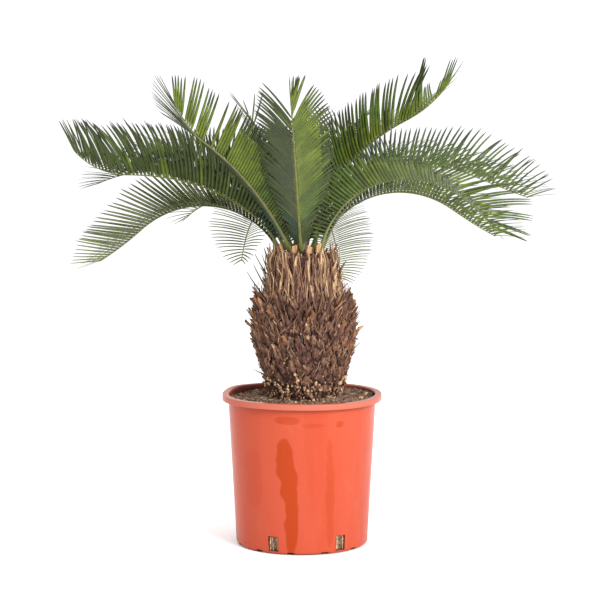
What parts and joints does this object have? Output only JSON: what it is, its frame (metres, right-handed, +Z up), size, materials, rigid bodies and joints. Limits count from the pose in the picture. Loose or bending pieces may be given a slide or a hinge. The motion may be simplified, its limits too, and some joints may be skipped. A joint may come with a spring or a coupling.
{
  "type": "potted sago palm",
  "caption": "Sago palm with a swollen, scaly trunk and a crown of arching feather fronds, growing in a round terracotta-coloured plastic nursery pot with a rolled rim and drain slots.",
  "frame": {"origin": "centre of the pot's flat underside, which stands on the floor", "axes": "+Z up along the pot's axis and the trunk, -Y towards the viewer of the picture, +X to that viewer's right"},
  "size_m": [0.9819, 0.9096, 0.9721],
  "materials": {
    "pot_plastic": "glossy, moulded",
    "compost": "damp and crumbly",
    "bark": "rough, scaly",
    "cut_stalk": "dry, fibrous",
    "bud_wool": "woolly",
    "leaf": "leathery, slightly shiny"
  },
  "bodies": {
    "root": {"compost": "compost", "crown_bud": "bud_wool", "cut_stub_back": "cut_stalk", "cut_stub_front": "cut_stalk", "cut_stub_front_right": "cut_stalk", "cut_stub_left": "cut_stalk", "cut_stub_right": "cut_stalk", "frond_back_high": "leaf", "frond_back_left": "leaf", "frond_back_left_hanging": "leaf", "frond_back_left_high": "leaf", "frond_back_left_low": "leaf", "frond_back_mid": "leaf", "frond_back_right": "leaf", "frond_back_right_hanging": "leaf", "frond_front": "leaf", "frond_left_far": "leaf", "frond_left_high": "leaf", "frond_left_low": "leaf", "frond_left_mid": "leaf", "frond_right_far": "leaf", "frond_right_high": "leaf", "frond_right_low": "leaf", "frond_right_mid": "leaf", "pot": "pot_plastic", "trunk": "bark"}
  },
  "joints": []
}
